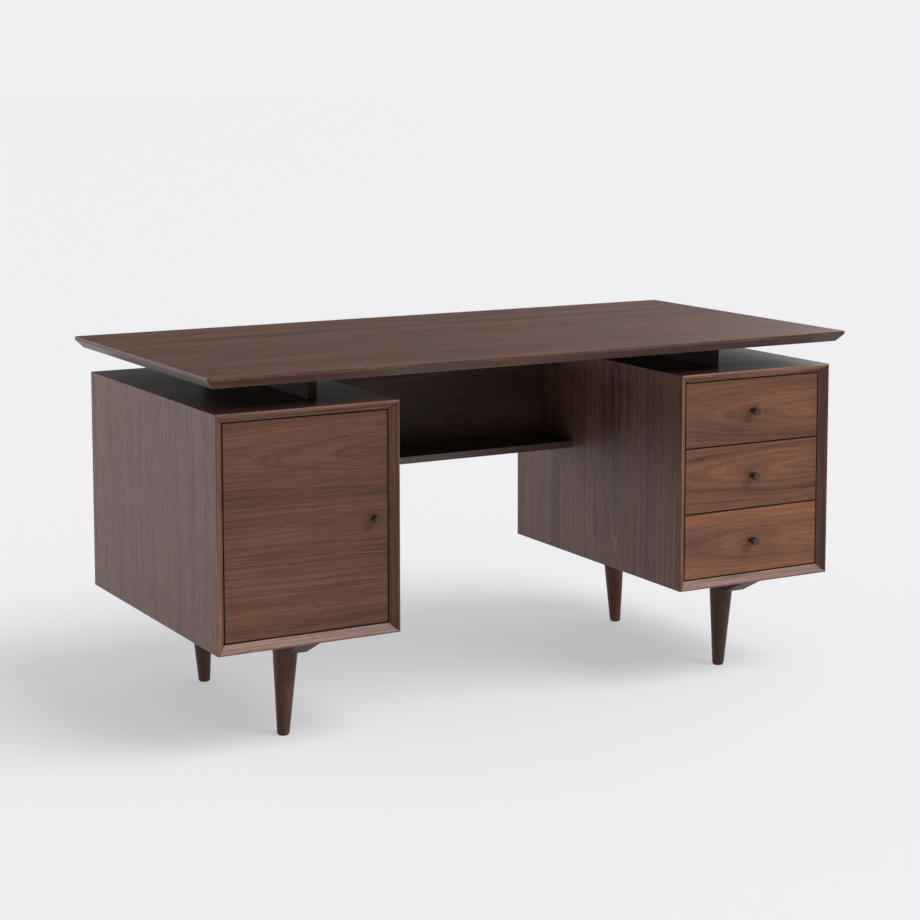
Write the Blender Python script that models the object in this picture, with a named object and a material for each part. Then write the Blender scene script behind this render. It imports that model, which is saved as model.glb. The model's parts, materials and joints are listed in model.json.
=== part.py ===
# Writing desk with two pedestals: a cupboard on the left and three drawers on the right.
# Metres, +Z up, +X to the right, the fronts face -Y. The origin is on the floor, under
# the middle of the table top.

import math

import bmesh
import bpy
from mathutils import Matrix, Vector

# ---------------------------------------------------------------- driving dimensions

DESK_HEIGHT = 0.750
FIT_GAP = 0.0003                # air between two pieces that touch on the real desk

TOP_LENGTH = 1.500
TOP_DEPTH = 0.740
TOP_THICKNESS = 0.023
TOP_LIP = 0.007                 # upright part of the top's edge, above its bevel
TOP_BEVEL_INSET = 0.015         # how far the bevel under the edge runs inwards
TOP_CORNER_RADIUS = 0.006

PEDESTAL_WIDTH = 0.390
PEDESTAL_DEPTH = 0.680
PEDESTAL_HEIGHT = 0.465
PEDESTAL_LIFT = 0.211           # floor to the underside of a pedestal
SIDE_OVERHANG = 0.024           # top beyond the pedestals, at each end
FRONT_OVERHANG = 0.025
BOARD = 0.018                   # thickness of the case boards, fronts and panel
CASE_LIP = 0.0035               # flat front edge of a case board, outside its bevel
FRONT_RECESS = 0.014            # how far the door and drawers sit back in the case
CASE_BACK_THICKNESS = 0.012
CASE_BACK_RECESS = 0.004

RAIL_WIDTH = 0.020              # spacer rail that carries the top above each pedestal
RAIL_OFFSET = 0.048             # rail from the pedestal's middle, towards the knees
RAIL_FRONT_SETBACK = 0.088
RAIL_BACK_SETBACK = 0.060

BATTEN_WIDTH = 0.052            # chamfered batten under each pedestal, front to back
BATTEN_HEIGHT = 0.035
BATTEN_SETBACK = 0.008
BATTEN_CHAMFER_RUN = 0.066

LEG_SETBACK = 0.122             # leg axis from the pedestal's front and back
LEG_TOP_RADIUS = 0.0255
LEG_FOOT_RADIUS = 0.0125
LEG_FOOT_ROUNDING = 0.002
LEG_LEAN = 0.006                # sideways shift of a foot from its leg's top

PANEL_SETBACK = 0.568           # modesty panel's front face from the pedestals' fronts
LEDGE_SETBACK = 0.437           # ledge board's front edge from the pedestals' fronts
LEDGE_TOP = 0.262               # ledge's upper face above the pedestals' undersides
LEDGE_THICKNESS = 0.016

REVEAL = 0.002                  # gap round the door and between the drawer fronts
DRAWER_COUNT = 3
DRAWER_BOX_DEPTH = 0.500
DRAWER_BOX_HEIGHT = 0.100
DRAWER_BOX_RISE = 0.016         # box underside above its front's lower edge
DRAWER_SIDE = 0.012
DRAWER_BOTTOM = 0.006
DRAWER_BOTTOM_RISE = 0.008
GROOVE_DEPTH = 0.006

SLIDE_SPACE = 0.013             # room for a slide between a drawer box and the case
SLIDE_LENGTH = 0.500
SLIDE_SHEET = 0.0012
CASE_MEMBER_HEIGHT = 0.045
CASE_MEMBER_DEPTH = 0.0102
DRAWER_MEMBER_HEIGHT = 0.033
DRAWER_MEMBER_DEPTH = 0.0087

KNOB_RADIUS = 0.0095
KNOB_NECK_RADIUS = 0.0060
KNOB_LENGTH = 0.021
KNOB_FLARE_SHARE = 0.75         # part of the length over which a knob widens
KNOB_DOME = 0.0006
KNOB_FACE_DROP = 0.0020         # full radius ends this far behind the dome's middle
KNOB_FACE_ROUNDING = 0.0015
DOOR_KNOB_INSET = 0.030         # knob axis from the door's free edge

HINGE_INSET = 0.085             # hinge axis height from the door's top and bottom
CUP_RADIUS = 0.0175
CUP_DEPTH = 0.0120
CUP_FROM_EDGE = 0.0225
CUP_FLANGE_RADIUS = 0.0205
CUP_FLANGE = 0.0015
CUP_WALL = 0.0015
ARM_HEIGHT = 0.018
ARM_LENGTH = 0.072
ARM_SHEET = 0.0045

SHELF_THICKNESS = 0.016
SHELF_SETBACK = 0.060
SHELF_SIDE_GAP = 0.001
CLEAT = 0.012

ROUND_SEGMENTS = 32

# ---------------------------------------------------------------- derived places

PEDESTAL_X = TOP_LENGTH / 2 - SIDE_OVERHANG - PEDESTAL_WIDTH / 2
FRONT_Y = -TOP_DEPTH / 2 + FRONT_OVERHANG
BACK_Y = FRONT_Y + PEDESTAL_DEPTH
CASE_TOP_Z = PEDESTAL_LIFT + PEDESTAL_HEIGHT
TOP_UNDERSIDE_Z = DESK_HEIGHT - TOP_THICKNESS
FACE_Y = FRONT_Y + FRONT_RECESS
FACE_BACK_Y = FACE_Y + BOARD
OPENING_WIDTH = PEDESTAL_WIDTH - 2 * BOARD
OPENING_LOW_Z = PEDESTAL_LIFT + BOARD
OPENING_HEIGHT = PEDESTAL_HEIGHT - 2 * BOARD
CASE_BACK_Y = BACK_Y - CASE_BACK_RECESS - CASE_BACK_THICKNESS
KNEE_X = PEDESTAL_X - PEDESTAL_WIDTH / 2

# ---------------------------------------------------------------- materials


def principled(name, colour, roughness, metallic=0.0):
    material = bpy.data.materials.new(name)
    material.use_nodes = True
    shader = material.node_tree.nodes["Principled BSDF"]
    shader.inputs["Base Color"].default_value = (*colour, 1.0)
    shader.inputs["Roughness"].default_value = roughness
    shader.inputs["Metallic"].default_value = metallic
    material.diffuse_color = (*colour, 1.0)
    return material


def make_materials():
    return {
        "walnut_top": principled("walnut_top", (0.115, 0.070, 0.048), 0.42),
        "walnut_case": principled("walnut_case", (0.130, 0.080, 0.055), 0.45),
        "walnut_front": principled("walnut_front", (0.160, 0.088, 0.058), 0.45),
        "walnut_solid": principled("walnut_solid", (0.090, 0.050, 0.034), 0.40),
        "drawer_box": principled("drawer_box", (0.480, 0.360, 0.235), 0.50),
        "slide_steel": principled("slide_steel", (0.560, 0.570, 0.580), 0.35, 1.0),
        "hinge_steel": principled("hinge_steel", (0.620, 0.620, 0.610), 0.28, 1.0),
    }


# ---------------------------------------------------------------- modelling helpers


def add_object(name, mesh, material, place, parent=None):
    """Link a mesh as an object whose origin is at a place given in world space."""
    if not mesh.materials:
        mesh.materials.append(material)
    piece = bpy.data.objects.new(name, mesh)
    bpy.context.collection.objects.link(piece)
    piece.parent = parent
    piece.location = Vector(place) - (parent.location if parent else Vector())
    return piece


def add_empty(name, place):
    empty = bpy.data.objects.new(name, None)
    empty.empty_display_size = 0.05
    empty.location = place
    bpy.context.collection.objects.link(empty)
    return empty


def finish_mesh(name, shape):
    bmesh.ops.recalc_face_normals(shape, faces=shape.faces)
    mesh = bpy.data.meshes.new(name)
    shape.to_mesh(mesh)
    shape.free()
    return mesh


def box(name, low, high, material, parent=None):
    """A plain board between two corners; its origin is at its middle."""
    low = Vector(low)
    high = Vector(high)
    shape = bmesh.new()
    bmesh.ops.create_cube(shape, size=1.0)
    bmesh.ops.scale(shape, vec=high - low, verts=shape.verts)
    return add_object(name, finish_mesh(name, shape), material, (low + high) / 2, parent)


def bridge_rings(name, rings):
    """Skin a list of rings with the same number of points and cap both ends."""
    shape = bmesh.new()
    loops = [[shape.verts.new(point) for point in ring] for ring in rings]
    shape.faces.new(loops[0])
    shape.faces.new(loops[-1])
    for first, second in zip(loops, loops[1:]):
        count = len(first)
        for i in range(count):
            j = (i + 1) % count
            shape.faces.new((first[i], first[j], second[j], second[i]))
    return finish_mesh(name, shape)


def turned_mesh(name, profile):
    """Turn (radius, height) points round +Z; a point at radius 0 closes that end."""
    shape = bmesh.new()
    verts = [shape.verts.new((radius, 0.0, height)) for radius, height in profile]
    edges = [shape.edges.new(pair) for pair in zip(verts, verts[1:])]
    bmesh.ops.spin(shape, geom=verts + edges, cent=(0, 0, 0), axis=(0, 0, 1),
                   angle=2 * math.pi, steps=ROUND_SEGMENTS, use_merge=True)
    bmesh.ops.remove_doubles(shape, verts=shape.verts, dist=0.00002)
    mesh = finish_mesh(name, shape)
    mesh.shade_smooth()
    mesh.set_sharp_from_angle(angle=math.radians(35))
    return mesh


def prism_mesh(name, outline, direction, length):
    """Extrude a flat outline, centred on its own plane, along a direction."""
    half = Vector(direction) * (length / 2)
    near = [Vector(point) - half for point in outline]
    far = [Vector(point) + half for point in outline]
    return bridge_rings(name, [near, far])


# ---------------------------------------------------------------- table top and rails


def rounded_rectangle(length, depth, radius, height):
    """Plan outline with a quarter circle of five points at each corner."""
    points = []
    steps = 4
    for quarter in range(4):
        sign_x = (1, -1, -1, 1)[quarter]
        sign_y = (1, 1, -1, -1)[quarter]
        centre_x = sign_x * (length / 2 - radius)
        centre_y = sign_y * (depth / 2 - radius)
        for step in range(steps + 1):
            angle = math.pi / 2 * (quarter + step / steps)
            x = centre_x + radius * math.cos(angle)
            y = centre_y + radius * math.sin(angle)
            points.append((x, y, height))
    return points


def add_top(material):
    inset = 2 * TOP_BEVEL_INSET
    rings = [
        rounded_rectangle(TOP_LENGTH, TOP_DEPTH, TOP_CORNER_RADIUS, 0.0),
        rounded_rectangle(TOP_LENGTH, TOP_DEPTH, TOP_CORNER_RADIUS, -TOP_LIP),
        rounded_rectangle(TOP_LENGTH - inset, TOP_DEPTH - inset,
                          TOP_CORNER_RADIUS / 3, -TOP_THICKNESS),
    ]
    mesh = bridge_rings("desk_top", rings)
    add_object("desk_top", mesh, material, (0, 0, DESK_HEIGHT))


def add_spacer_rails(material):
    for name, side in (("spacer_rail_left", -1), ("spacer_rail_right", 1)):
        middle = side * (PEDESTAL_X - RAIL_OFFSET)
        low = (middle - RAIL_WIDTH / 2, FRONT_Y + RAIL_FRONT_SETBACK, CASE_TOP_Z + FIT_GAP)
        high = (middle + RAIL_WIDTH / 2, BACK_Y - RAIL_BACK_SETBACK, TOP_UNDERSIDE_Z - FIT_GAP)
        box(name, low, high, material)


# ---------------------------------------------------------------- pedestal cases


def case_board_mesh(name, along, outward, half_span, half_out):
    """A case board with mitred ends and a bevelled front edge.

    The section is a list of (depth, inset): depth from the case's front, and inset from
    its outer face. The mitre shortens the board by the inset at each end.
    """
    section = [(0.0, 0.0), (0.0, CASE_LIP), (FRONT_RECESS, BOARD),
               (PEDESTAL_DEPTH, BOARD), (PEDESTAL_DEPTH, 0.0)]
    rings = []
    for end in (-1, 1):
        ring = []
        for depth, inset in section:
            reach = end * (half_span - inset - FIT_GAP)
            point = Vector(along) * reach + Vector(outward) * (half_out - inset)
            ring.append(point + Vector((0, depth, 0)))
        rings.append(ring)
    return bridge_rings(name, rings)


def add_case(prefix, side, materials):
    """Four mitred boards and an inset back; the case's empty is at its front middle."""
    middle = Vector((side * PEDESTAL_X, FRONT_Y, PEDESTAL_LIFT + PEDESTAL_HEIGHT / 2))
    empty = add_empty(prefix + "_pedestal", middle)
    half_width = PEDESTAL_WIDTH / 2
    half_height = PEDESTAL_HEIGHT / 2
    outer = (side, 0, 0)
    inner = (-side, 0, 0)
    boards = (
        ("top", (1, 0, 0), (0, 0, 1), half_width, half_height),
        ("bottom", (1, 0, 0), (0, 0, -1), half_width, half_height),
        ("outer_side", (0, 0, 1), outer, half_height, half_width),
        ("inner_side", (0, 0, 1), inner, half_height, half_width),
    )
    for part, along, outward, half_span, half_out in boards:
        name = prefix + "_case_" + part
        mesh = case_board_mesh(name, along, outward, half_span, half_out)
        add_object(name, mesh, materials["walnut_case"], middle, empty)
    half_x = half_width - BOARD - FIT_GAP
    half_z = half_height - BOARD - FIT_GAP
    back_low = (middle.x - half_x, CASE_BACK_Y, middle.z - half_z)
    back_high = (middle.x + half_x, CASE_BACK_Y + CASE_BACK_THICKNESS, middle.z + half_z)
    box(prefix + "_case_back", back_low, back_high, materials["walnut_case"], empty)


def add_centre_panel(material):
    """Modesty panel between the pedestals, standing on a ledge board."""
    half_x = KNEE_X - FIT_GAP
    ledge_top_z = PEDESTAL_LIFT + LEDGE_TOP
    panel_y = FRONT_Y + PANEL_SETBACK
    box("ledge_board", (-half_x, FRONT_Y + LEDGE_SETBACK, ledge_top_z - LEDGE_THICKNESS),
        (half_x, panel_y + BOARD, ledge_top_z), material)
    box("modesty_panel", (-half_x, panel_y, ledge_top_z + FIT_GAP),
        (half_x, panel_y + BOARD, CASE_TOP_Z), material)


# ---------------------------------------------------------------- battens and legs


def batten_mesh():
    """A bar along Y whose two ends are cut to a long slant on the underside."""
    half = PEDESTAL_DEPTH / 2 - BATTEN_SETBACK
    outline = [(0, -half, 0), (0, half, 0),
               (0, half - BATTEN_CHAMFER_RUN, -BATTEN_HEIGHT),
               (0, -half + BATTEN_CHAMFER_RUN, -BATTEN_HEIGHT)]
    return prism_mesh("batten", outline, (1, 0, 0), BATTEN_WIDTH)


def leg_mesh(name, lean):
    """A turned, tapered leg whose axis leans sideways; its top is at height 0."""
    height = PEDESTAL_LIFT - BATTEN_HEIGHT - 2 * FIT_GAP
    profile = [(0, 0), (LEG_TOP_RADIUS, 0),
               (LEG_FOOT_RADIUS, LEG_FOOT_ROUNDING - height),
               (LEG_FOOT_RADIUS - LEG_FOOT_ROUNDING, -height), (0, -height)]
    mesh = turned_mesh(name, profile)
    shear = Matrix.Identity(4)
    shear[0][2] = -lean / height
    mesh.transform(shear)
    return mesh


def add_undercarriage(material):
    batten = batten_mesh()
    front_leg = leg_mesh("front_leg", -LEG_LEAN)
    rear_leg = leg_mesh("rear_leg", LEG_LEAN)
    batten_z = PEDESTAL_LIFT - FIT_GAP
    leg_top_z = batten_z - BATTEN_HEIGHT - FIT_GAP
    for side_name, side in (("left", -1), ("right", 1)):
        x = side * PEDESTAL_X
        middle_y = (FRONT_Y + BACK_Y) / 2
        add_object("batten_" + side_name, batten, material, (x, middle_y, batten_z))
        add_object("front_leg_" + side_name, front_leg, material,
                   (x, FRONT_Y + LEG_SETBACK, leg_top_z))
        add_object("rear_leg_" + side_name, rear_leg, material,
                   (x, BACK_Y - LEG_SETBACK, leg_top_z))


# ---------------------------------------------------------------- knobs


def knob_mesh():
    """A small turned knob that widens from its neck to a slightly domed face."""
    profile = [(0, 0), (KNOB_NECK_RADIUS, 0)]
    steps = 5
    for step in range(1, steps + 1):
        share = step / steps
        flare = (1 - math.cos(math.pi * share)) / 2
        radius = KNOB_NECK_RADIUS + (KNOB_RADIUS - KNOB_NECK_RADIUS) * flare
        profile.append((radius, KNOB_LENGTH * KNOB_FLARE_SHARE * share))
    profile.append((KNOB_RADIUS, KNOB_LENGTH - KNOB_FACE_DROP))
    profile.append((KNOB_RADIUS - KNOB_FACE_ROUNDING, KNOB_LENGTH - KNOB_DOME))
    profile.append((0, KNOB_LENGTH))
    mesh = turned_mesh("knob", profile)
    mesh.transform(Matrix.Rotation(math.radians(90), 4, "X"))
    return mesh


# ---------------------------------------------------------------- left cupboard


def add_door(materials, knob):
    """The door hangs on an upright axis through its front left edge."""
    left = -PEDESTAL_X - OPENING_WIDTH / 2 + REVEAL
    width = OPENING_WIDTH - 2 * REVEAL
    low_z = OPENING_LOW_Z + REVEAL
    high_z = OPENING_LOW_Z + OPENING_HEIGHT - REVEAL
    empty = add_empty("door_hinge_axis", (left, FACE_Y, (low_z + high_z) / 2))
    door = box("door", (left, FACE_Y, low_z), (left + width, FACE_BACK_Y, high_z),
               materials["walnut_front"], empty)
    knob_place = (left + width - DOOR_KNOB_INSET, FACE_Y - FIT_GAP, (low_z + high_z) / 2)
    add_object("door_knob", knob, materials["walnut_solid"], knob_place, empty)
    for name, z in (("lower", low_z + HINGE_INSET), ("upper", high_z - HINGE_INSET)):
        add_hinge(name, left, z, door, materials["hinge_steel"], empty)


def cup_mesh():
    """A hinge cup, open towards +Z, with a flange at height 0 to CUP_FLANGE."""
    inner = CUP_RADIUS - CUP_WALL
    profile = [(0, -CUP_DEPTH), (CUP_RADIUS, -CUP_DEPTH), (CUP_RADIUS, 0),
               (CUP_FLANGE_RADIUS, 0), (CUP_FLANGE_RADIUS, CUP_FLANGE),
               (inner, CUP_FLANGE), (inner, CUP_WALL - CUP_DEPTH), (0, CUP_WALL - CUP_DEPTH)]
    mesh = turned_mesh("hinge_cup", profile)
    mesh.transform(Matrix.Rotation(math.radians(-90), 4, "X"))
    return mesh


def arm_mesh():
    """A cranked arm: its foot lies on the case side and its nose faces the cup."""
    reach = CUP_FROM_EDGE + REVEAL
    outline = [(0, 0, 0), (reach, 0, 0), (reach, ARM_SHEET, 0),
               (2 * ARM_SHEET, 2 * ARM_SHEET, 0), (2 * ARM_SHEET, ARM_LENGTH, 0),
               (0, ARM_LENGTH, 0)]
    return prism_mesh("hinge_arm", outline, (0, 0, 1), ARM_HEIGHT)


def add_hinge(name, door_left, z, door, material, door_empty):
    cup_x = door_left + CUP_FROM_EDGE
    add_object("hinge_cup_" + name, cup_mesh(), material,
               (cup_x, FACE_BACK_Y + FIT_GAP, z), door_empty)
    cutter_mesh = turned_mesh("cup_cutter", [
        (0, -CUP_DEPTH - FIT_GAP), (CUP_RADIUS + FIT_GAP, -CUP_DEPTH - FIT_GAP),
        (CUP_RADIUS + FIT_GAP, CUP_DEPTH), (0, CUP_DEPTH)])
    cutter_mesh.transform(Matrix.Rotation(math.radians(-90), 4, "X"))
    cutter = add_object("cup_cutter_" + name, cutter_mesh, material,
                        (cup_x, FACE_BACK_Y, z), door_empty)
    cutter.hide_render = True
    cutter.display_type = "WIRE"
    cut = door.modifiers.new("cup_hole_" + name, "BOOLEAN")
    cut.operation = "DIFFERENCE"
    cut.solver = "EXACT"
    cut.object = cutter
    case_side_x = door_left - REVEAL + FIT_GAP
    arm_y = FACE_BACK_Y + 2 * FIT_GAP + CUP_FLANGE
    add_object("hinge_arm_" + name, arm_mesh(), material, (case_side_x, arm_y, z))


def add_shelf(materials):
    """A loose shelf on two cleats, halfway up the cupboard."""
    half_x = OPENING_WIDTH / 2 - SHELF_SIDE_GAP
    shelf_low_z = OPENING_LOW_Z + OPENING_HEIGHT / 2
    front_y = FRONT_Y + SHELF_SETBACK
    back_y = CASE_BACK_Y - SHELF_SIDE_GAP
    box("cupboard_shelf", (-PEDESTAL_X - half_x, front_y, shelf_low_z),
        (-PEDESTAL_X + half_x, back_y, shelf_low_z + SHELF_THICKNESS), materials["walnut_case"])
    for name, side in (("shelf_cleat_left", -1), ("shelf_cleat_right", 1)):
        wall_x = -PEDESTAL_X + side * (OPENING_WIDTH / 2 - FIT_GAP)
        inner_x = wall_x - side * CLEAT
        low = (min(wall_x, inner_x), front_y + CLEAT, shelf_low_z - FIT_GAP - CLEAT)
        high = (max(wall_x, inner_x), back_y - CLEAT, shelf_low_z - FIT_GAP)
        box(name, low, high, materials["walnut_solid"])


# ---------------------------------------------------------------- drawers


def channel_mesh(name, side, height, depth, length):
    """A U channel along Y: its web is at x = 0 and its flanges point to the given side."""
    half = height / 2
    inner = half - SLIDE_SHEET
    tip = side * depth
    web = side * SLIDE_SHEET
    outline = [(0, 0, -half), (tip, 0, -half), (tip, 0, -inner), (web, 0, -inner),
               (web, 0, inner), (tip, 0, inner), (tip, 0, half), (0, 0, half)]
    return prism_mesh(name, outline, (0, 1, 0), length)


def add_slides(name, z, drawer, material):
    """One channel on each case side and a smaller one on each side of the drawer box."""
    wall = OPENING_WIDTH / 2 - FIT_GAP
    box_side = OPENING_WIDTH / 2 - SLIDE_SPACE + FIT_GAP
    middle_y = FACE_BACK_Y + FIT_GAP + SLIDE_LENGTH / 2
    for side_name, side in (("left", -1), ("right", 1)):
        case_member = channel_mesh("case_slide", -side, CASE_MEMBER_HEIGHT,
                                   CASE_MEMBER_DEPTH, SLIDE_LENGTH)
        add_object("case_slide_%s_%s" % (name, side_name), case_member, material,
                   (PEDESTAL_X + side * wall, middle_y, z))
        drawer_member = channel_mesh("drawer_slide", side, DRAWER_MEMBER_HEIGHT,
                                     DRAWER_MEMBER_DEPTH, SLIDE_LENGTH)
        add_object("drawer_slide_%s_%s" % (name, side_name), drawer_member, material,
                   (PEDESTAL_X + side * box_side, middle_y, z), drawer)


def drawer_side_mesh(side):
    """A side of the drawer box, grooved on its inner face for the bottom panel."""
    outer = side * DRAWER_SIDE / 2
    inner = -outer
    groove = inner + side * GROOVE_DEPTH
    low = -DRAWER_BOX_HEIGHT / 2
    high = DRAWER_BOX_HEIGHT / 2
    groove_low = low + DRAWER_BOTTOM_RISE - FIT_GAP
    groove_high = groove_low + DRAWER_BOTTOM + 2 * FIT_GAP
    outline = [(outer, 0, low), (inner, 0, low), (inner, 0, groove_low),
               (groove, 0, groove_low), (groove, 0, groove_high), (inner, 0, groove_high),
               (inner, 0, high), (outer, 0, high)]
    return prism_mesh("drawer_side", outline, (0, 1, 0), DRAWER_BOX_DEPTH)


def add_drawer(name, front_low_z, front_height, materials, knob):
    middle = Vector((PEDESTAL_X, FACE_Y, front_low_z + front_height / 2))
    empty = add_empty("drawer_%s_slide_axis" % name, middle)
    half_front = OPENING_WIDTH / 2 - REVEAL
    box("drawer_front_" + name, (PEDESTAL_X - half_front, FACE_Y, front_low_z),
        (PEDESTAL_X + half_front, FACE_BACK_Y, front_low_z + front_height),
        materials["walnut_front"], empty)
    add_object("drawer_knob_" + name, knob, materials["walnut_solid"],
               (PEDESTAL_X, FACE_Y - FIT_GAP, middle.z), empty)

    half_box = OPENING_WIDTH / 2 - SLIDE_SPACE
    low_z = front_low_z + DRAWER_BOX_RISE
    high_z = low_z + DRAWER_BOX_HEIGHT
    box_front_y = FACE_BACK_Y + FIT_GAP
    box_back_y = box_front_y + DRAWER_BOX_DEPTH
    for side_name, side in (("left", -1), ("right", 1)):
        place = (PEDESTAL_X + side * (half_box - DRAWER_SIDE / 2),
                 (box_front_y + box_back_y) / 2, (low_z + high_z) / 2)
        add_object("drawer_side_%s_%s" % (name, side_name), drawer_side_mesh(side),
                   materials["drawer_box"], place, empty)
    inner_half = half_box - DRAWER_SIDE - FIT_GAP
    bottom_low_z = low_z + DRAWER_BOTTOM_RISE
    bottom_high_z = bottom_low_z + DRAWER_BOTTOM
    box("drawer_back_" + name,
        (PEDESTAL_X - inner_half, box_back_y - DRAWER_SIDE, bottom_high_z + FIT_GAP),
        (PEDESTAL_X + inner_half, box_back_y, high_z), materials["drawer_box"], empty)
    bottom_half = inner_half + GROOVE_DEPTH
    box("drawer_bottom_" + name, (PEDESTAL_X - bottom_half, box_front_y, bottom_low_z),
        (PEDESTAL_X + bottom_half, box_back_y, bottom_high_z), materials["drawer_box"], empty)
    slide_z = (low_z + high_z) / 2
    add_slides(name, slide_z, empty, materials["slide_steel"])


def add_drawers(materials, knob):
    front_height = (OPENING_HEIGHT - (DRAWER_COUNT + 1) * REVEAL) / DRAWER_COUNT
    for row, name in enumerate(("bottom", "middle", "top")):
        low_z = OPENING_LOW_Z + REVEAL + row * (front_height + REVEAL)
        add_drawer(name, low_z, front_height, materials, knob)


# ---------------------------------------------------------------- build


def main():
    for thing in list(bpy.data.objects):
        bpy.data.objects.remove(thing, do_unlink=True)
    materials = make_materials()
    add_top(materials["walnut_top"])
    add_spacer_rails(materials["walnut_solid"])
    add_case("left", -1, materials)
    add_case("right", 1, materials)
    add_centre_panel(materials["walnut_case"])
    add_undercarriage(materials["walnut_solid"])
    knob = knob_mesh()
    add_door(materials, knob)
    add_shelf(materials)
    add_drawers(materials, knob)
    bpy.context.view_layer.update()


main()
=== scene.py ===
# %% [markdown]
# # A walnut writing desk with a floating top
#
# The desk is a thin board with an undercut edge that floats on two rails above two box
# pedestals. The left box is a cupboard and the right one holds three drawers. Both stand
# on tapered legs. Everything below is worked out in metres in one shared frame: +X runs
# along the desk, the fronts face -Y and +Z is up. The frame brings each part's place and
# the body that it moves with, so a new piece only needs a better shape and a finish.

# %% Load the frame
import json
import math

import bmesh
import bpy
import numpy as np
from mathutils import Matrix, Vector


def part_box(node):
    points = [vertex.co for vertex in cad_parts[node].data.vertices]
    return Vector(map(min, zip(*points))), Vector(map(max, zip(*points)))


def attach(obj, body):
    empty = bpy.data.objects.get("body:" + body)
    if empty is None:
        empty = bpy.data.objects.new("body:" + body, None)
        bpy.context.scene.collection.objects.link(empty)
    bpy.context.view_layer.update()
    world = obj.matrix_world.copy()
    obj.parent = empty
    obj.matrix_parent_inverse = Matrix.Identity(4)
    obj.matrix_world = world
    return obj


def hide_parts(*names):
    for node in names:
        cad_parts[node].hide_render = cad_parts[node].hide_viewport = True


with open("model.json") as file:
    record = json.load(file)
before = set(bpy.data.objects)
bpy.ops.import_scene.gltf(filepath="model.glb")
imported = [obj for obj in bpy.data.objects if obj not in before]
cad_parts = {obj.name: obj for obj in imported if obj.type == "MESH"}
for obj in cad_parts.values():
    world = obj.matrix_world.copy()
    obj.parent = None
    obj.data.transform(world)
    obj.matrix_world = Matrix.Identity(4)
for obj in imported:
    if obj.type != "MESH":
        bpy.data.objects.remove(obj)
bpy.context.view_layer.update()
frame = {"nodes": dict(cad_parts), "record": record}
record = frame["record"]

# %% [markdown]
# ## Which body and which finish each part has
#
# The record lists the parts of each moving body and each part's material slot. Turning
# both lists round gives two small dictionaries. A piece that stands for a part then
# rides on the right body, and a part that keeps its shape gets its finish by its slot.

# %% Look up bodies and slots
body_of = {node: body for body, nodes in record["behaviour"]["bodies"].items() for node in nodes}
slot_of = {part["node"]: part["material_slot"] for part in record["subparts"]}


def corners(node):
    """Lowest and highest corner of a part at rest, as two numpy arrays."""
    low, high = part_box(node)
    return np.array(low, dtype=float), np.array(high, dtype=float)


# %% [markdown]
# ## The camera
#
# A desk is pictured from a little above its top, so that the top reads as a thin sheet
# and the pedestals as boxes. The camera stands about five metres off to the front left
# with a long lens, which keeps the box edges nearly parallel. A small downward shift of
# the lens does part of what tilting would do, and so keeps the upright edges straighter.

# %% Place the camera
camera_data = bpy.data.cameras.new("camera")
camera = bpy.data.objects.new("camera", camera_data)
bpy.context.collection.objects.link(camera)
camera.location = (-2.3124, -4.1304, 1.3268)
camera.rotation_euler = (math.pi / 2 - 0.1098, 0.0009, -0.5090)
camera_data.sensor_width = 36.0
camera_data.lens = 86.20
camera_data.shift_y = -0.165
camera_data.clip_end = 200.0
bpy.context.scene.camera = camera
print("camera stands", round(camera.location.length, 2), "m from the desk")

# %% [markdown]
# ## The room and its light
#
# A studio is a pale floor that runs on until it fades into the backdrop, with large soft
# lamps. The floor also gives off a little light of its own, which keeps the shadow on it
# as pale as it is in a white room. The room is darker for reflections and fill than for
# the eye, because a real backdrop far behind the desk catches little light.

# %% Make the floor
REACH = 90.0

floor_mesh = bpy.data.meshes.new("floor")
floor_mesh.from_pydata(
    [(-REACH, -REACH, 0), (REACH, -REACH, 0), (REACH, REACH, 0), (-REACH, REACH, 0)],
    [], [(0, 1, 2, 3)])
floor = bpy.data.objects.new("floor", floor_mesh)
bpy.context.collection.objects.link(floor)
floor_paint = bpy.data.materials.new("floor_paint")
floor_paint.use_nodes = True
floor_shader = floor_paint.node_tree.nodes["Principled BSDF"]
floor_shader.inputs["Base Color"].default_value = (0.700, 0.690, 0.708, 1)
floor_shader.inputs["Emission Color"].default_value = (1.0, 1.0, 1.02, 1)
floor_shader.inputs["Emission Strength"].default_value = 0.405
floor_shader.inputs["Roughness"].default_value = 0.85
floor_shader.inputs["Specular IOR Level"].default_value = 0.1
floor_mesh.materials.append(floor_paint)
print("floor reaches", REACH, "m each way")

# %% [markdown]
# The room gives light from every side. It is brightest on the right and overhead, where
# the large lamps light the walls too. A smooth step of each direction's cosine makes one
# glow, and the glows add up. A camera ray sees the plain backdrop in place of this.

# %% Light from the room
world = bpy.data.worlds.new("studio")
world.use_nodes = True
bpy.context.scene.world = world
sky = world.node_tree.nodes
sky_links = world.node_tree.links
seen = sky.new("ShaderNodeBackground")
seen.inputs["Color"].default_value = (0.879, 0.879, 0.896, 1)
felt = sky["Background"]
direction = sky.new("ShaderNodeTexCoord")
cosines = sky.new("ShaderNodeSeparateXYZ")
sky_links.new(direction.outputs["Generated"], cosines.inputs["Vector"])


def glow(axis, start, full, strength):
    """A soft brightening of the room towards one side, from one cosine to another."""
    ease = sky.new("ShaderNodeMapRange")
    ease.interpolation_type = "SMOOTHSTEP"
    ease.inputs["From Min"].default_value = start
    ease.inputs["From Max"].default_value = full
    ease.inputs["To Max"].default_value = strength
    sky_links.new(cosines.outputs[axis], ease.inputs["Value"])
    return ease.outputs["Result"]


def plus(first, second):
    """The sum of two strengths, each a socket or a plain number."""
    made = sky.new("ShaderNodeMath")
    for socket, value in zip(made.inputs, (first, second)):
        if isinstance(value, float):
            socket.default_value = value
        else:
            sky_links.new(value, socket)
    return made.outputs["Value"]


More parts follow.
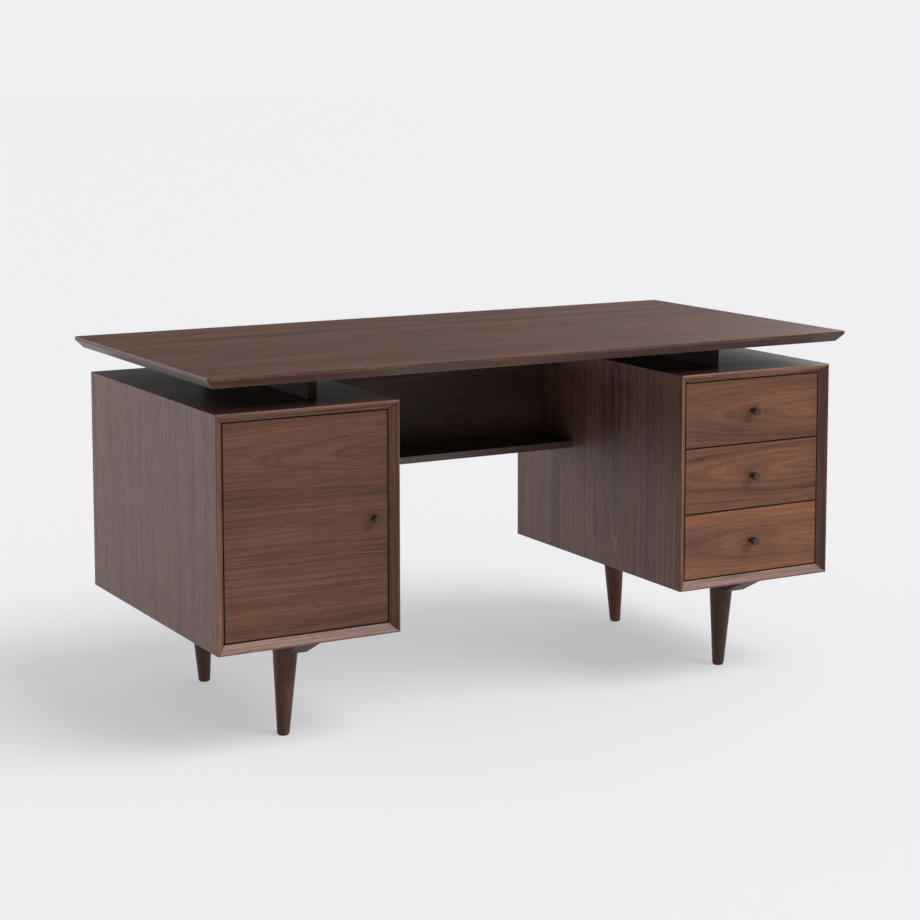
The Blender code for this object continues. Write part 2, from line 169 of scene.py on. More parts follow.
right_glow = glow("X", 0.35, 0.78, 0.38)
back_glow = glow("Y", 0.30, 0.95, 0.05)
front_glow = glow("Y", 0.10, -0.90, 0.10)
high_glow = glow("Z", 0.10, 0.90, 0.18)
total = plus(plus(plus(right_glow, back_glow), plus(front_glow, high_glow)), 0.12)
sky_links.new(total, felt.inputs["Strength"])
felt.inputs["Color"].default_value = (0.93, 0.97, 1.0, 1)
ray = sky.new("ShaderNodeLightPath")
choice = sky.new("ShaderNodeMixShader")
sky_links.new(ray.outputs["Is Camera Ray"], choice.inputs["Fac"])
sky_links.new(felt.outputs["Background"], choice.inputs[1])
sky_links.new(seen.outputs["Background"], choice.inputs[2])
sky_links.new(choice.outputs["Shader"], sky["World Output"].inputs["Surface"])
print("room glows from the right, the back, the front and above")

# %% [markdown]
# Four lamps light the desk. The overhead sun is broad and stands to the front right, so
# it draws the soft shadow on the floor towards the back left. The other three leave the
# floor alone, so that it has one shadow only. The small key sun gives the knobs a shadow
# and the arrises a line of light. The rim sun grazes the left sides from behind, and the
# softbox on the right puts a pale sheen on the top. The plain view transform shows the
# colours as the lamps and shades give them.


# %% Lamps

def sun(name, towards, strength, spread, colour=(1, 1, 1)):
    """A sun that shines from the given direction, with its width in degrees."""
    data = bpy.data.lights.new(name, "SUN")
    data.energy = strength
    data.angle = math.radians(spread)
    data.color = colour
    lamp = bpy.data.objects.new(name, data)
    bpy.context.collection.objects.link(lamp)
    across, ahead, up = towards
    lamp.rotation_euler = (math.atan2(math.hypot(across, ahead), up), 0,
                           math.atan2(across, -ahead))
    return lamp


sun("overhead", (0.40, -0.47, 0.79), 1.40, 40, (1.0, 0.985, 0.97))
key = sun("key", (0.60, -0.62, 0.50), 0.80, 10, (1.0, 0.97, 0.94))
rim = sun("rim", (-0.52, 0.84, 0.14), 1.50, 60, (1.00, 0.93, 1.05))

box_data = bpy.data.lights.new("softbox", "AREA")
box_data.energy = 16.0
box_data.size = 1.5
box_data.color = (1.0, 0.975, 0.95)
softbox = bpy.data.objects.new("softbox", box_data)
bpy.context.collection.objects.link(softbox)
softbox.location = (2.5, 0.9, 1.9)
aim = Vector((0.2, 0.0, 0.6)) - softbox.location
softbox.rotation_euler = aim.to_track_quat("-Z", "Y").to_euler()
not_lit = bpy.data.collections.new("not_lit_by_softbox")
not_lit.objects.link(floor)
not_lit.collection_objects[0].light_linking.link_state = "EXCLUDE"
for lamp in (softbox, rim, key):
    lamp.light_linking.receiver_collection = not_lit
bpy.context.scene.view_settings.view_transform = "Standard"

# %% [markdown]
# ## Small tools for building a material
#
# A procedural material is a chain of nodes. A few helpers keep the chain readable. The
# first adds a node and fills or joins its sockets. The others use it for one sum each and
# hand back the result, so that a formula in the script looks like the formula it is.


# %% Node helpers
def add_node(tree, kind, sockets=(), **settings):
    """Add a node, set its options, then join or fill the sockets given by name."""
    made = tree.nodes.new(kind)
    for option, value in settings.items():
        setattr(made, option, value)
    for socket, value in dict(sockets).items():
        if isinstance(value, bpy.types.NodeSocket):
            tree.links.new(value, made.inputs[socket])
        else:
            made.inputs[socket].default_value = value
    return made


def maths(tree, operation, *values):
    """The result of one math node, for example MULTIPLY of two numbers or sockets."""
    return add_node(tree, "ShaderNodeMath", dict(enumerate(values)),
                    operation=operation).outputs[0]


def weighted(tree, *pairs):
    """Sum of socket times factor over all pairs."""
    total = maths(tree, "MULTIPLY", *pairs[0])
    for socket, factor in pairs[1:]:
        total = maths(tree, "MULTIPLY_ADD", socket, factor, total)
    return total


def fade(tree, value, start, end, low=0.0, high=1.0):
    """Low up to the start, high from the end on, and a straight ramp between them."""
    return add_node(tree, "ShaderNodeMapRange", {
        "Value": value, "From Min": start, "From Max": end, "To Min": low,
        "To Max": high}).outputs[0]


print("helpers for sums:", maths.__name__, weighted.__name__, fade.__name__)

# %% [markdown]
# Natural materials are never even, so the rest of the helpers make noise and turn it
# into colour. Noise that is stretched along one axis looks like a fibre or a scratch,
# and a ramp reads a colour off each value of it.


# %% Noise and colour helpers
def line_noise(tree, place, per_metre, detail, roughness=0.5):
    """Smooth noise around 0 along one distance, with so many bumps in a metre."""
    made = add_node(tree, "ShaderNodeTexNoise", {
        "W": maths(tree, "MULTIPLY", place, per_metre), "Scale": 1.0, "Detail": detail,
        "Roughness": roughness}, noise_dimensions="1D")
    return maths(tree, "SUBTRACT", made.outputs["Fac"], 0.5)


def noise(tree, places, per_metre, detail, roughness=0.5):
    """Smooth noise around 0 in space, with its own bumps in a metre along each axis."""
    scaled = [maths(tree, "MULTIPLY", place, count) for place, count in zip(places, per_metre)]
    space = add_node(tree, "ShaderNodeCombineXYZ", dict(enumerate(scaled))).outputs[0]
    made = add_node(tree, "ShaderNodeTexNoise", {"Vector": space, "Scale": 1.0,
                    "Detail": detail, "Roughness": roughness})
    return maths(tree, "SUBTRACT", made.outputs["Fac"], 0.5)


def mixed(tree, share, first, second, blend="MIX"):
    """A mix of two colours, each a socket or an (r, g, b) tuple."""
    first, second = ((*c, 1) if isinstance(c, (tuple, list)) else c for c in (first, second))
    return add_node(tree, "ShaderNodeMix", {"Factor": share, 6: first, 7: second},
                    data_type="RGBA", blend_type=blend).outputs[2]


def ramped(tree, value, stops):
    """Colours read off a ramp whose stops are (position, (r, g, b)), in rising order."""
    ramp = add_node(tree, "ShaderNodeValToRGB", {"Fac": value})
    elements = ramp.color_ramp.elements
    for index, (position, colour) in enumerate(stops):
        stop = elements[index] if index < 2 else elements.new(position)
        stop.position = position
        stop.color = (*colour, 1)
    return ramp.outputs["Color"]


print("helpers for colour:", noise.__name__, ramped.__name__, mixed.__name__)

# %% [markdown]
# ## The painted gap shade
#
# A painted shade darkens the arris round the face of a door or a drawer front. It stands
# for the shadow in the narrow gap beside the front. It could be a thin strip of its own,
# but the painted shade has no thickness, so the material darkens where the distance past
# the rim of the face nears zero. The sides of the board, which lie past the rim, take only a share
# of it.

# %% The painted gap shade
# Colour and distances of the painted shade for the gaps round the face of a front.
GAP_SHADE_COLOUR = (0.012, 0.006, 0.004)
GAP_SHADE_START, GAP_SHADE_FULL, GAP_SHADE_DEPTH = -0.0013, -0.0007, 0.93
ARRIS_END, SIDE_FACE, SIDE_SHARE = -0.00010, -0.00002, 0.35


def painted_gap_shade(tree, colour, u, v, size):
    """Paint the gap shade: darken a colour where max(|u| - length / 2, |v| - height / 2) nears 0.
    """
    past_end = maths(tree, "SUBTRACT", maths(tree, "ABSOLUTE", u), size[0] / 2)
    past_side = maths(tree, "SUBTRACT", maths(tree, "ABSOLUTE", v), size[1] / 2)
    past = maths(tree, "MAXIMUM", past_end, past_side)
    arris = fade(tree, past, GAP_SHADE_START, GAP_SHADE_FULL, 0.0, GAP_SHADE_DEPTH)
    beside = fade(tree, past, ARRIS_END, SIDE_FACE, 1.0, SIDE_SHARE)
    return mixed(tree, maths(tree, "MULTIPLY", arris, beside), colour, GAP_SHADE_COLOUR)


# The painted gap shade starts this far inside the rim of a face.
print("painted gap shade starts", -1000 * GAP_SHADE_START, "mm from the edge")

# %% [markdown]
# ## Walnut veneer
#
# A log is a stack of nested cones, one for each year. A veneer knife cuts a flat sheet
# through them, so each ring shows as a curve: nearly straight lines far from the heart,
# and nested arches, called cathedrals, where the sheet passes close to it. The distance
# from the heart is the square root of (across the grain) squared plus (depth under the
# sheet) squared, and the depth changes slowly along the grain because a ring is a cone.
# Noise over that one distance gives growth rings of uneven width. Finer noise, drawn
# out along the grain, gives fibres and the short dark pores that walnut is known for.
# Slow noise also shifts the hue a little, from a cool grey brown to a warm one.
# An image of wood would repeat and stretch, and this pattern runs through the board, so
# the arrises and the ends match the faces.

# %% A wood material
AXES = "XYZ"
COOL_TINT = (0.84, 0.88, 1.00)
WARM_TINT = (1.08, 1.00, 0.82)
PORE_DEPTH = 0.45


def wood(name, along, across, middle, heart, depth, flare, shades,
         rings=1.0, figure=1.0, fibre=1.0, contrast=1.0, gloss=0.42, shine=0.30,
         seed=0.0, tint=1.0, size=None, bands=1.0, tone=1.0, relief=0.35,
         dash=9.0):
    """Wood whose grain runs along one axis of a board centred on a given place.

    heart is (place along, place across) from the middle. The ring distance is
    sqrt((across - heart) ** 2 + (depth + flare * (along - heart)) ** 2). rings sets how
    close the rings lie, figure how far they wander, and dash how short the fibres are.
    bands, contrast and fibre weigh the wide, middle and fine layers, tint weighs the
    shift of hue and tone scales the shades. gloss is the roughness, shine the strength
    of the reflection and relief the depth of the pores.
    """
    material = bpy.data.materials.new(name)
    material.use_nodes = True
    tree = material.node_tree
    shader = tree.nodes["Principled BSDF"]
    through = AXES.replace(along, "").replace(across, "")
    shades = [(position, [tone * part for part in colour]) for position, colour in shades]
    place = add_node(tree, "ShaderNodeTexCoord").outputs["Object"]
    centred = add_node(tree, "ShaderNodeMapping", {"Vector": place,
                       "Location": [-v for v in middle]}).outputs[0]
    split = add_node(tree, "ShaderNodeSeparateXYZ", {"Vector": centred}).outputs
    u = split[along]
    v = split[across]
    w = maths(tree, "ADD", split[through], seed)

    drift = noise(tree, (u, v, w), (1.3, 3.5, 3.5), 2.0)
    wobble = noise(tree, (u, v, w), (8.0, 26.0, 26.0), 2.0)
    bent = weighted(tree, (drift, 0.045 * figure), (wobble, 0.012 * figure), (v, 1.0))
    side = maths(tree, "SUBTRACT", bent, heart[1])
    under = maths(tree, "MULTIPLY_ADD", maths(tree, "SUBTRACT", u, heart[0]), flare, depth)
    squares = weighted(tree, (maths(tree, "MULTIPLY", side, side), 1.0),
                       (maths(tree, "MULTIPLY", under, under), 1.0))
    ring = maths(tree, "MULTIPLY_ADD", w, 0.35, maths(tree, "SQRT", squares))

    broad = line_noise(tree, ring, 24.0 * rings, 1.0)
    years = line_noise(tree, ring, 120.0 * rings, 3.0, 0.62)
    lines = noise(tree, (u, ring, w), (3.5, 300.0, 300.0), 2.0, 0.6)
    dashes = noise(tree, (u, bent, w), (dash, 330.0, 330.0), 2.0, 0.6)
    fine = noise(tree, (u, bent, w), (30.0, 850.0, 850.0), 2.0, 0.6)
    cloud = noise(tree, (u, v, w), (2.6, 9.0, 9.0), 2.0)
    pore = noise(tree, (u, bent, w), (75.0, 1500.0, 1500.0), 1.0)
    pore_mask = fade(tree, pore, 0.09, 0.20)

    layers = weighted(tree, (broad, 0.50 * bands), (years, 0.60 * contrast),
                      (lines, 0.70 * fibre), (dashes, 0.60 * fibre),
                      (fine, 0.50 * fibre), (cloud, 0.60 * bands))
    grain = ramped(tree, maths(tree, "ADD", layers, 0.5), shades)
    warmth = maths(tree, "ADD", weighted(tree, (cloud, 1.6), (broad, 0.8)), 0.5)
    hue = ramped(tree, warmth, [(0.0, COOL_TINT), (1.0, WARM_TINT)])
    tinted = mixed(tree, tint, grain, hue, "MULTIPLY")
    finished = mixed(tree, maths(tree, "MULTIPLY", pore_mask, PORE_DEPTH), tinted, shades[0][1])
    # A front with a size gets the painted gap shade round its face.
    if size is not None:
        finished = painted_gap_shade(tree, finished, u, v, size)
    tree.links.new(finished, shader.inputs["Base Color"])
    rough = maths(tree, "ADD", weighted(tree, (fine, 0.16), (pore_mask, 0.14), (cloud, 0.12)),
                  gloss)
    tree.links.new(rough, shader.inputs["Roughness"])
    height = weighted(tree, (fine, 0.6), (lines, 0.3), (pore_mask, -0.8))
    bump = add_node(tree, "ShaderNodeBump", {"Strength": relief, "Distance": 0.0003,
                    "Height": height})
    tree.links.new(bump.outputs["Normal"], shader.inputs["Normal"])
    shader.inputs["Specular IOR Level"].default_value = shine
    print("wood:", name, "grain along", along)
    return material


# %% [markdown]
# Boards of one desk are cut from several sheets, so the shades differ from face to face.
# Each set holds a dark, a middle and a light shade: the dark one for the pores and late
# wood, the light one for the early wood.

# %% Walnut shades
DOOR_SHADES = [(0.10, (0.038, 0.013, 0.008)), (0.50, (0.114, 0.046, 0.027)),
               (0.90, (0.190, 0.084, 0.052))]
FRONT_SHADES = [(0.10, (0.062, 0.022, 0.011)), (0.50, (0.180, 0.070, 0.037)),
                (0.90, (0.290, 0.124, 0.069))]
FRAME_SHADES = [(0.10, (0.060, 0.025, 0.014)), (0.50, (0.195, 0.092, 0.056)),
                (0.90, (0.330, 0.170, 0.110))]
CASE_SHADES = [(0.10, (0.045, 0.021, 0.014)), (0.50, (0.130, 0.064, 0.043)),
               (0.90, (0.215, 0.114, 0.080))]
TOP_SHADES = [(0.10, (0.036, 0.014, 0.008)), (0.50, (0.114, 0.050, 0.030)),
              (0.90, (0.195, 0.092, 0.058))]
SOLID_SHADES = [(0.10, (0.020, 0.008, 0.005)), (0.50, (0.056, 0.023, 0.014)),
                (0.90, (0.100, 0.044, 0.028))]
PANEL_SHADES = [(0.10, (0.018, 0.008, 0.006)), (0.50, (0.050, 0.024, 0.016)),
                (0.90, (0.090, 0.046, 0.031))]
PALE_SHADES = [(0.10, (0.330, 0.225, 0.135)), (0.50, (0.490, 0.365, 0.235)),
               (0.90, (0.600, 0.470, 0.325))]


def centre_of(node):
    """The middle of a part's box."""
    low, high = corners(node)
    return (low + high) / 2


def face_of(node):
    """Length and height of a part's front face."""
    low, high = corners(node)
    return (high[0] - low[0], high[2] - low[2])


# %% [markdown]
# The edges get finishes of their own. The front edges of the cases and the lip of the
# top are solid strips, sanded smoother than the veneer, so they have less relief and
# catch the lamps. The slanted underside of the top is left darker. The left strip of a
# case faces the lamps and the right one turns from them, and their strips are chosen
# lighter and darker to match.

# %% Walnut for each kind of board
top_wood = wood("top_walnut", "X", "Y", (0, 0, 0.74), (0.3, 0.9), 0.25, 0.05, TOP_SHADES,
                rings=0.8, figure=0.55, fibre=1.6, contrast=1.5, gloss=0.45, shine=0.28, tone=0.96,
                bands=0.7, tint=0.6)
side_wood = wood("side_walnut", "Z", "Y", (0, 0, 0.44), (0.1, 0.55), 0.10, 0.10, CASE_SHADES,
                 rings=1.15, figure=0.6, fibre=2.0, contrast=0.6, gloss=0.45, shine=0.40,
                 bands=0.45, tint=0.4, dash=28.0)
knee_wood = wood("knee_side_walnut", "Z", "Y", (0, 0, 0.44), (0.15, -0.09), 0.0, -0.10,
                 CASE_SHADES, rings=1.1, figure=0.6, fibre=1.7, contrast=0.9, gloss=0.45,
                 shine=0.36, bands=0.8, tint=0.4, dash=24.0, seed=53.0, tone=0.95)
level_wood = wood("level_walnut", "X", "Y", (0, 0, 0.44), (0.2, 0.6), 0.10, 0.10, CASE_SHADES,
                  rings=1.1, figure=0.6, gloss=0.34, shine=0.9, seed=3.0, tone=0.6,
                  relief=0.15)
panel_wood = wood("panel_walnut", "X", "Z", tuple(centre_of("modesty_panel")),
                  (0.2, -0.06), 0.03, -0.12, PANEL_SHADES, figure=0.9, gloss=0.47,
                  seed=5.0, tone=1.2)
door_wood = wood("door_walnut", "X", "Z", tuple(centre_of("door")), (0.26, 0.13), 0.02, -0.06,
                 DOOR_SHADES, figure=0.8, contrast=0.8, gloss=0.46, seed=7.0,
                 size=face_of("door"), tone=1.06, bands=0.65, fibre=1.0, tint=0.75)
# The drawer fronts are one walnut whose tone rises from the top row to the bottom row. That rise
# is painted light, because the lower fronts catch more light.
drawer_woods = {
    row: wood("drawer_walnut_" + row, "X", "Z", tuple(centre_of("drawer_front_" + row)),
              heart, depth, flare, FRONT_SHADES, figure=0.7, contrast=0.85, fibre=0.9,
              gloss=0.46, seed=seed, size=face_of("drawer_front_" + row), tone=tone)
    for row, heart, depth, flare, seed, tone in (
        ("top", (0.20, -0.005), 0.004, -0.10, 11.0, 0.93),
        ("middle", (0.24, 0.012), 0.004, -0.08, 13.0, 1.00),
        ("bottom", (0.22, 0.000), 0.004, -0.09, 17.0, 1.08))
}
stile_woods = {
    side: wood(f"{side}_stile_walnut", "Z", "Y", (0, 0, 0.44), (0.1, 0.9), 0.10, 0.10,
               FRAME_SHADES, rings=1.3, figure=0.5, gloss=0.36, shine=0.28, seed=seed, tone=tone,
               relief=0.10)
    for side, seed, tone in (("left", 41.0, 1.00), ("right", 47.0, 0.60))
}
frame_wood = wood("frame_walnut", "X", "Y", (0, 0, 0.44), (0.2, 0.9), 0.10, 0.10, FRAME_SHADES,
                  rings=1.3, figure=0.5, gloss=0.32, shine=0.48, seed=43.0, tone=1.0, relief=0.08,
                  fibre=1.6)
lip_wood = wood("lip_walnut", "X", "Y", (0, 0, 0.74), (0.3, 0.9), 0.25, 0.05, TOP_SHADES,
                rings=0.8, figure=0.55, gloss=0.34, shine=0.35, tone=0.80, relief=0.10,
                fibre=2.0)
under_wood = wood("under_walnut", "X", "Y", (0, 0, 0.72), (0.3, 0.9), 0.25, 0.05, TOP_SHADES,
                  rings=0.8, figure=0.55, gloss=0.34, shine=0.28, tone=0.54, relief=0.12)
leg_wood = wood("leg_walnut", "Z", "Y", (0, 0, 0.1), (0, 0.4), 0.02, 0.05, SOLID_SHADES,
                rings=1.6, figure=0.5, contrast=0.6, gloss=0.42, shine=0.22, seed=19.0, tone=1.35)
rail_wood = wood("rail_walnut", "Y", "X", (0, 0, 0.2), (0, 0.9), 0.02, 0.05, SOLID_SHADES,
                 rings=1.4, figure=0.5, gloss=0.46, shine=0.10, seed=23.0, tone=0.8)
drawer_side_wood = wood("pale_side_wood", "Y", "Z", (0, 0, 0.44), (0, 0.3), 0.1, 0.05,
                        PALE_SHADES, figure=0.6, gloss=0.5, seed=29.0, tint=0.4)
drawer_panel_wood = wood("pale_panel_wood", "X", "Y", (0.5, 0, 0.3), (0, 0.3), 0.1, 0.1,
                         PALE_SHADES, figure=0.8, gloss=0.5, seed=31.0, tint=0.4)

# %% [markdown]
# ## Plated steel
#
# Drawer slides are folded from zinc-plated strip and the hinges are nickel-plated. Both
# are drawn or rolled lengthwise, so faint scratches run along the metal. Noise drawn out
# along Y gives the scratches in the roughness and in a very shallow bump.


# %% Steel materials
def plated_steel(name, colour, gloss, seed):
    """Plated metal with scratches along Y and a faint stain that dulls its colour."""
    material = bpy.data.materials.new(name)
    material.use_nodes = True
    tree = material.node_tree
    shader = tree.nodes["Principled BSDF"]
    place = add_node(tree, "ShaderNodeTexCoord").outputs["Object"]
    split = add_node(tree, "ShaderNodeSeparateXYZ", {"Vector": place}).outputs
    places = [split[axis] for axis in AXES]
    shifted = [maths(tree, "ADD", places[0], seed), *places[1:]]
    scratch = noise(tree, shifted, (1800.0, 25.0, 1800.0), 2.0, 0.6)
    stain = noise(tree, places, (55.0, 55.0, 55.0), 3.0, 0.6)
    dulled = [0.82 * part for part in colour]
    shade = ramped(tree, maths(tree, "ADD", stain, 0.5), [(0.3, dulled), (0.7, colour)])
    tree.links.new(shade, shader.inputs["Base Color"])
    rough = maths(tree, "ADD", weighted(tree, (scratch, 0.25), (stain, 0.15)), gloss)
    tree.links.new(rough, shader.inputs["Roughness"])
    bump = add_node(tree, "ShaderNodeBump", {"Strength": 0.2, "Distance": 0.0001,
                    "Height": scratch})
    tree.links.new(bump.outputs["Normal"], shader.inputs["Normal"])
    shader.inputs["Metallic"].default_value = 1.0
    print("steel:", name)
    return material


zinc = plated_steel("zinc_plate", (0.60, 0.61, 0.62), 0.34, 0.0)
nickel = plated_steel("nickel_plate", (0.66, 0.65, 0.62), 0.26, 40.0 / 1800.0)

# %% [markdown]
# ## From a grid of points to a piece
#
# Every new piece starts as a stack of rings, each with the same number of points. The
# rings are joined with four-sided faces and the two end rings are closed with one flat
# face each. Points that fall together are merged and the faces are turned outwards. The
# Weighted Normal modifier then lets the large flat faces decide the shading, so a small
# rounded arris catches a thin line of light and the face beside it stays flat.


# %% Skin rings and finish a piece
def skin(rings):
    """Quads between neighbouring rings: (i, j), (i, j + 1), (i + 1, j + 1), (i + 1, j)."""
    rings = np.asarray(rings, dtype=float)
    count, around = rings.shape[:2]
    i, j = np.meshgrid(np.arange(count - 1), np.arange(around), indexing="ij")
    k = (j + 1) % around
    quads = np.stack([i * around + j, i * around + k, (i + 1) * around + k,
                      (i + 1) * around + j], axis=-1).reshape(-1, 4)
    ends = [list(range(around))[::-1], list(range((count - 1) * around, count * around))]
    return rings.reshape(-1, 3), quads.tolist() + ends


MERGE_DISTANCE = 1e-6
SHARP_BEND = math.radians(50)


def solid_object(name, shape):
    """An object for a closed shape, its doubles merged and its faces turned outwards."""
    points, faces = shape
    mesh = bpy.data.meshes.new(name)
    mesh.from_pydata(points.tolist(), [], faces)
    work = bmesh.new()
    work.from_mesh(mesh)
    bmesh.ops.remove_doubles(work, verts=work.verts, dist=MERGE_DISTANCE)
    bmesh.ops.recalc_face_normals(work, faces=work.faces)
    work.to_mesh(mesh)
    work.free()
    made = bpy.data.objects.new(name, mesh)
    bpy.context.collection.objects.link(made)
    return made


def even_normals(piece):
    """Let the large faces of a piece decide the shading of the small ones beside them."""
    normals = piece.modifiers.new("even_normals", "WEIGHTED_NORMAL")
    normals.mode = "FACE_AREA"
    normals.weight = 100
    normals.keep_sharp = True


def add_piece(name, shape, material, node, stands_for=True):
    """Make the piece for a shape on the body of a part, and hide the part if it stands for it."""
    piece = solid_object(name, shape)
    piece.data.shade_smooth()
    piece.data.set_sharp_from_angle(angle=SHARP_BEND)
    piece.data.materials.append(material)
    even_normals(piece)
    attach(piece, body_of[node])
    if stands_for:
        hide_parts(node)
    return piece


print("bends over", round(math.degrees(SHARP_BEND)), "degrees stay sharp")

# %% [markdown]
# ## Boards with eased arrises
#
# A joiner never leaves an arris sharp: it is eased with a stroke of the block plane. The
# shape is a box that a small ball has rolled round, so every point is a corner of the
# shrunken box plus the ball's radius times a direction. The directions cover the ball
# in turns and rises, with the sign of each direction choosing the corner.


# %% The eased board
def corner_turns(steps):
    """A full turn that stops twice on each axis, and the corner that each step is at."""
    quarter = np.linspace(0, math.pi / 2, steps + 1)
    turn = np.concatenate([quarter + k * math.pi / 2 for k in range(4)])
    sign_x = np.repeat([1, -1, -1, 1], steps + 1)
    sign_y = np.repeat([1, 1, -1, -1], steps + 1)
    return quarter, turn, sign_x, sign_y


def eased_board(low, high, radius, steps=3):
    """Point = middle + sign(n) * (half size - radius) + radius * n, for n on a sphere."""
    quarter, turn, sign_x, sign_y = corner_turns(steps)
    rise = np.concatenate([quarter - math.pi / 2, quarter])
    sign = np.empty((len(rise), len(turn), 3))
    sign[..., 0] = sign_x
    sign[..., 1] = sign_y
    sign[..., 2] = np.repeat([-1, 1], steps + 1)[:, None]
    ball = np.stack([np.outer(np.cos(rise), np.cos(turn)), np.outer(np.cos(rise), np.sin(turn)),
                     np.outer(np.sin(rise), np.ones_like(turn))], axis=-1)
    half = (high - low) / 2
    return skin((low + high) / 2 + sign * (half - radius) + radius * ball)


print("an eased board has", len(eased_board(*corners("door"), 0.001)[0]), "points")

# %% [markdown]
# Most of the flat parts are boards like this, each with its own wood and its own radius.
# Solid bars and fronts are eased more than thin panels.

# %% Make the boards
boards = [
    ("ledge_board", level_wood, 0.0010), ("modesty_panel", panel_wood, 0.0008),
    ("spacer_rail_left", rail_wood, 0.0010), ("spacer_rail_right", rail_wood, 0.0010),
    ("left_case_back", panel_wood, 0.0006), ("right_case_back", panel_wood, 0.0006),
    ("cupboard_shelf", level_wood, 0.0010), ("shelf_cleat_left", rail_wood, 0.0010),
    ("shelf_cleat_right", rail_wood, 0.0010),
]
for row in ("top", "middle", "bottom"):
    boards.append(("drawer_front_" + row, drawer_woods[row], 0.0009))
    boards.append(("drawer_back_" + row, drawer_panel_wood, 0.0010))
    boards.append(("drawer_bottom_" + row, drawer_panel_wood, 0.0005))
for node, material, radius in boards:
    add_piece("eased_" + node, eased_board(*corners(node), radius), material, node)
print(len(boards), "eased boards")

# %% [markdown]
# ## Rounding the corners of a profile
#
# The top, the case boards, the legs and the knobs all start from a bent line. A router
# or a lathe leaves each bend of that line with a small radius. The helper swaps a corner
# for an arc that touches both arms. The arc's centre lies on the bisector at radius over
# sin(half angle), and it touches the arms at radius over tan(half angle).


# %% Round the bends of a line
def rounded_line(points, radii, steps=4, closed=False):
    """Replace the bends of a line by arcs; an open line keeps its two end points."""
    points = np.asarray(points, dtype=float)
    bends = points if closed else points[1:-1]
    before = (np.roll(points, 1, axis=0) if closed else points[:-2]) - bends
    after = (np.roll(points, -1, axis=0) if closed else points[2:]) - bends
    before /= np.linalg.norm(before, axis=1, keepdims=True)
    after /= np.linalg.norm(after, axis=1, keepdims=True)
    radii = np.broadcast_to(np.asarray(radii, dtype=float), len(bends))[:, None]
    half = np.arccos(np.clip((before * after).sum(axis=1), -1, 1))[:, None] / 2
    bisector = (before + after) / np.linalg.norm(before + after, axis=1, keepdims=True)
    centre = bends + bisector * radii / np.sin(half)
    start = bends + before * radii / np.tan(half) - centre
    end = bends + after * radii / np.tan(half) - centre
    sweep = (math.pi - 2 * half)[:, None]
    share = np.linspace(0, 1, steps + 1)[None, :, None]
    arcs = (start[:, None] * np.sin((1 - share) * sweep) + end[:, None] * np.sin(share * sweep))
    arcs = (centre[:, None] + arcs / np.sin(sweep)).reshape(-1, 2)
    return arcs if closed else np.vstack([points[:1], arcs, points[-1:]])


print("one bend becomes", len(rounded_line([(0, 1), (0, 0), (1, 0)], 0.1)) - 2, "points")


# %% [markdown]
# ## The floating top
#
# The top looks thinner than it is because its edge is a short upright lip over a long
# undercut. One profile, drawn as (inset from the edge, height), goes round the rounded
# plan outline: each ring is the plan shrunk by the inset. Its corners are quarter
# circles whose radius shrinks with the inset too. The way that a face points decides
# whether it gets the finish of the top, the lip or the undercut.

# %% Shape the top
LIP = 0.007
UNDERCUT = 0.015
CORNER = 0.006
FLAT_START = 0.030
TOP_FACE, LIP_FACE = 0.97, -0.45

top_low, top_high = corners("desk_top")
thickness = top_high[2] - top_low[2]
edge = rounded_line([(FLAT_START, 0), (0, 0), (0, -LIP), (UNDERCUT, -thickness),
                     (FLAT_START, -thickness)], (0.0020, 0.0012, 0.0010))


def plan_rings(half_x, half_y, corner, heights, steps=6):
    """Rings of sign * (half size - corner) + corner * direction, one for each height."""
    _, turn, sign_x, sign_y = corner_turns(steps)
    x = sign_x * (half_x - corner)[:, None] + corner[:, None] * np.cos(turn)
    y = sign_y * (half_y - corner)[:, None] + corner[:, None] * np.sin(turn)
    return np.stack([x, y, np.broadcast_to(heights[:, None], x.shape)], axis=-1)


inset, drop = edge.T
corner = CORNER * (1 - inset / UNDERCUT * 2 / 3).clip(0.2, 1)
half_x, half_y = (top_high - top_low)[:2] / 2
top_rings = plan_rings(half_x - inset, half_y - inset, corner, top_high[2] + drop)
top_board = add_piece("eased_desk_top", skin(top_rings), top_wood, "desk_top")
top_board.data.materials.append(lip_wood)
top_board.data.materials.append(under_wood)
facing = np.empty(len(top_board.data.polygons) * 3)
top_board.data.polygons.foreach_get("normal", facing)
facing_up = facing.reshape(-1, 3)[:, 2]
finish = np.where(facing_up > TOP_FACE, 0, np.where(facing_up > LIP_FACE, 1, 2))
top_board.data.polygons.foreach_set("material_index", finish)
print("top", round(2 * half_x, 3), "x", round(2 * half_y, 3), "x", round(thickness, 3), "m")

# %% [markdown]
# ## Mitred cases with a bevelled front
#
# Each pedestal is four boards mitred at the corners, with the grain running round the
# box. Their front edges slope inwards to the door or the drawers like a picture frame,
# and leave a narrow flat lip outside. The section of a board is drawn as (depth from the
# front, inset from the outer face). The same inset shortens the board at each end, which
# is exactly what a mitre is.

# %% The section of a case board
BOARD = 0.018
CASE_LIP = 0.0035
RECESS = 0.014
MITRE_GAP = 0.00015


def case_board(low, high, outward, depth):
    """Section points swept along the board; both ends are cut back by the inset."""
    section = rounded_line([(0, 0), (0, CASE_LIP), (RECESS, BOARD), (depth, BOARD), (depth, 0)],
                           (0.0009, 0.0007, 0.0007, 0.0006, 0.0008), closed=True)
    back, inset = section.T
    along = 2 if outward[0] else 0
    out = 0 if outward[0] else 2
    sign = outward[out]
    face = high[out] if sign > 0 else low[out]
    rings = np.empty((2, len(section), 3))
    rings[:, :, 1] = low[1] + back
    rings[:, :, out] = face - sign * inset
    rings[0, :, along] = low[along] + inset + MITRE_GAP
    rings[1, :, along] = high[along] - inset - MITRE_GAP
    return skin(rings)


print("case boards are", BOARD, "m thick")

# %% [markdown]
# The front strips take their finish from the side of the opening that they are on: the
# left strip of each case is the light one. Faces within the recess belong to the strip.

